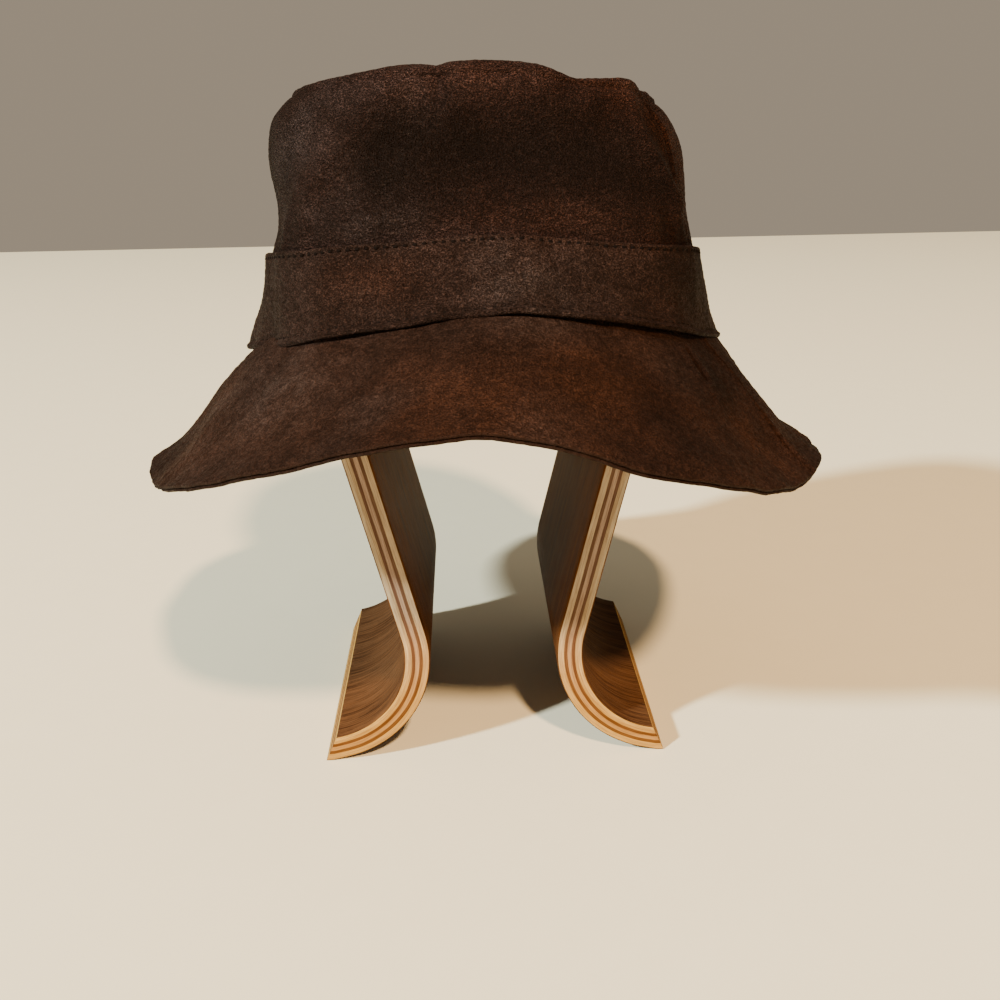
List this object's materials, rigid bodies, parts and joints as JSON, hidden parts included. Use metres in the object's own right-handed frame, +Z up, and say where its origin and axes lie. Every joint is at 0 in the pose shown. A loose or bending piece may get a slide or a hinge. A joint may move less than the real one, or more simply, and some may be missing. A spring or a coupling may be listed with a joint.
{
  "type": "suede bucket hat on a bent plywood stand",
  "caption": "Dark brown suede bucket hat with a flat-topped crown, wide band and drooping stitched brim, resting on an arched bent plywood hat stand.",
  "frame": {"origin": "middle of the part's footprint on the floor, under the feet of the stand", "axes": "+Z up, the front of the hat looks along -Y, +X to its right as seen in the picture"},
  "size_m": [0.249, 0.2704, 0.248],
  "materials": {
    "crown_suede": "dark brown distressed suede, fine wrinkled grain with a greyish sheen on the rubbed folds",
    "band_suede": "brown distressed suede, rubbed lighter in patches",
    "brim_suede": "reddish brown distressed suede, matt with fine wrinkles",
    "brim_under_suede": "brown suede, raw cut edge, matt",
    "plywood": "walnut veneer faces with open light and dark ply edges, satin oil"
  },
  "bodies": {
    "root": {"crown_tip": "crown_suede", "crown_front": "crown_suede", "crown_back": "crown_suede", "hat_band": "band_suede", "brim_top_front": "brim_suede", "brim_top_back": "brim_suede", "brim_under_front": "brim_under_suede", "brim_under_back": "brim_under_suede", "stand": "plywood"}
  },
  "joints": []
}
